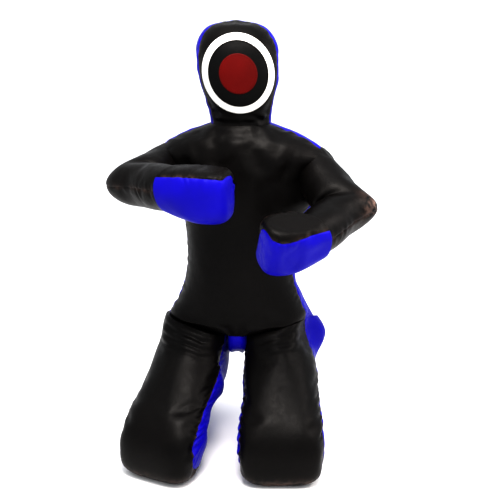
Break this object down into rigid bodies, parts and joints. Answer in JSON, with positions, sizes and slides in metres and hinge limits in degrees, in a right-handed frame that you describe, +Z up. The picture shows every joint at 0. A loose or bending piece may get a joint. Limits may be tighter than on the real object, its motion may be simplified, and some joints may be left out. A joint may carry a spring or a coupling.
{
  "type": "kneeling grappling dummy",
  "caption": "Stuffed leather figure for throwing and ground work, kneeling with its hands held in front, with a ringed target on its face.",
  "frame": {"origin": "on the floor, under the middle of the dummy's bounding box", "axes": "+Z up; the dummy faces -Y; its left side is +X"},
  "size_m": [0.6783, 0.5663, 1.155],
  "materials": {
    "black_leather": "semi-gloss, fine grain",
    "blue_leather": "semi-gloss, fine grain",
    "white_leather": "satin, fine grain",
    "red_leather": "satin, fine grain",
    "target_black": "satin, fine grain",
    "filling": "matt shredded textile wadding",
    "zip_tape": "matt woven tape",
    "zip_metal": "satin"
  },
  "bodies": {
    "pelvis": {"pelvis_filling": "filling", "crotch_gusset": "blue_leather"},
    "chest": {"chest_filling": "filling", "torso_front_panel": "black_leather", "torso_back_right_panel": "blue_leather", "torso_back_left_panel": "blue_leather", "zip_right_tape": "zip_tape", "zip_left_tape": "zip_tape", "zip_right_teeth": "zip_metal", "zip_left_teeth": "zip_metal"},
    "head": {"head_filling": "filling", "head_front_panel": "black_leather", "head_back_panel": "blue_leather", "target_white_disc": "white_leather", "target_black_disc": "target_black", "target_red_disc": "red_leather"},
    "right_upper_arm": {"right_upper_arm_filling": "filling", "right_sleeve_upper_panel": "black_leather", "right_sleeve_under_panel": "black_leather"},
    "right_forearm": {"right_forearm_filling": "filling"},
    "right_hand": {"right_hand_filling": "filling", "right_hand_top_panel": "black_leather", "right_hand_wall_panel": "blue_leather", "right_palm_panel": "black_leather"},
    "left_upper_arm": {"left_upper_arm_filling": "filling", "left_sleeve_upper_panel": "black_leather", "left_sleeve_under_panel": "black_leather"},
    "left_forearm": {"left_forearm_filling": "filling"},
    "left_hand": {"left_hand_filling": "filling", "left_hand_top_panel": "black_leather", "left_hand_wall_panel": "blue_leather", "left_palm_panel": "black_leather"},
    "right_thigh": {"right_thigh_filling": "filling", "right_thigh_front_panel": "black_leather", "right_thigh_back_panel": "blue_leather"},
    "right_shin": {"right_shin_filling": "filling", "right_shin_floor_panel": "black_leather", "right_calf_panel": "blue_leather", "right_foot_filling": "filling", "right_foot_panel": "black_leather"},
    "left_thigh": {"left_thigh_filling": "filling", "left_thigh_front_panel": "black_leather", "left_thigh_back_panel": "blue_leather"},
    "left_shin": {"left_shin_filling": "filling", "left_shin_floor_panel": "black_leather", "left_calf_panel": "blue_leather", "left_foot_filling": "filling", "left_foot_panel": "black_leather"},
    "zip_slider": {"zip_slider": "zip_metal"},
    "zip_pull": {"zip_pull": "zip_metal"}
  },
  "joints": [
    {"name": "waist_bend", "type": "hinge", "parent": "pelvis", "child": "chest", "pos_m": [-0.016, 0.087, 0.515], "axis": [-1, 0, 0], "range_deg": [-15, 20], "deforming": ["torso_front_panel", "torso_back_right_panel", "torso_back_left_panel"]},
    {"name": "neck_nod", "type": "hinge", "parent": "chest", "child": "head", "pos_m": [-0.016, 0.081, 0.896], "axis": [-1, 0, 0], "range_deg": [-20, 20], "deforming": ["head_front_panel", "head_back_panel"]},
    {"name": "right_shoulder", "type": "hinge", "parent": "chest", "child": "right_upper_arm", "pos_m": [-0.204, 0.083, 0.776], "axis": [-0.9168, 0.3994, 0], "range_deg": [-6, 20]},
    {"name": "right_elbow", "type": "hinge", "parent": "right_upper_arm", "child": "right_forearm", "pos_m": [-0.265, -0.057, 0.75], "axis": [0.1819, 0.1023, -0.978], "range_deg": [-12, 30], "deforming": ["right_sleeve_upper_panel", "right_sleeve_under_panel"]},
    {"name": "right_wrist", "type": "hinge", "parent": "right_forearm", "child": "right_hand", "pos_m": [-0.146, -0.173, 0.76], "axis": [-0.698, -0.7161, 0], "range_deg": [-18, 18], "deforming": ["right_hand_top_panel", "right_hand_wall_panel", "right_palm_panel"]},
    {"name": "left_shoulder", "type": "hinge", "parent": "chest", "child": "left_upper_arm", "pos_m": [0.172, 0.083, 0.776], "axis": [-0.7602, -0.6497, 0], "range_deg": [-20, 6]},
    {"name": "left_elbow", "type": "hinge", "parent": "left_upper_arm", "child": "left_forearm", "pos_m": [0.266, -0.027, 0.69], "axis": [0.3092, -0.4075, 0.8592], "range_deg": [-12, 30], "deforming": ["left_sleeve_upper_panel", "left_sleeve_under_panel"]},
    {"name": "left_wrist", "type": "hinge", "parent": "left_forearm", "child": "left_hand", "pos_m": [0.19, -0.169, 0.65], "axis": [-0.8817, 0.4719, 0], "range_deg": [-18, 18], "deforming": ["left_hand_top_panel", "left_hand_wall_panel", "left_palm_panel"]},
    {"name": "right_hip", "type": "hinge", "parent": "pelvis", "child": "right_thigh", "pos_m": [-0.12, 0.085, 0.322], "axis": [-0.9703, 0.2419, 0], "range_deg": [-10, 15], "deforming": ["right_thigh_front_panel", "right_thigh_back_panel"]},
    {"name": "right_knee", "type": "hinge", "parent": "right_thigh", "child": "right_shin", "pos_m": [-0.1744, -0.1353, 0.095], "axis": [-0.9703, 0.2419, 0], "range_deg": [0, 20], "deforming": ["right_shin_floor_panel", "right_calf_panel"]},
    {"name": "left_hip", "type": "hinge", "parent": "pelvis", "child": "left_thigh", "pos_m": [0.088, 0.085, 0.322], "axis": [-0.9903, -0.1392, 0], "range_deg": [-10, 15], "deforming": ["left_thigh_front_panel", "left_thigh_back_panel"]},
    {"name": "left_knee", "type": "hinge", "parent": "left_thigh", "child": "left_shin", "pos_m": [0.1171, -0.1242, 0.095], "axis": [-0.9903, -0.1392, 0], "range_deg": [0, 20], "deforming": ["left_shin_floor_panel", "left_calf_panel"]},
    {"name": "zip_slide", "type": "slide", "parent": "chest", "child": "zip_slider", "axis": [0, 0, -1], "range_m": [0, 0.2]},
    {"name": "zip_pull_swing", "type": "hinge", "parent": "zip_slider", "child": "zip_pull", "pos_m": [-0.016, 0.1892, 0.788], "axis": [1, 0, 0], "range_deg": [0, 160]}
  ]
}
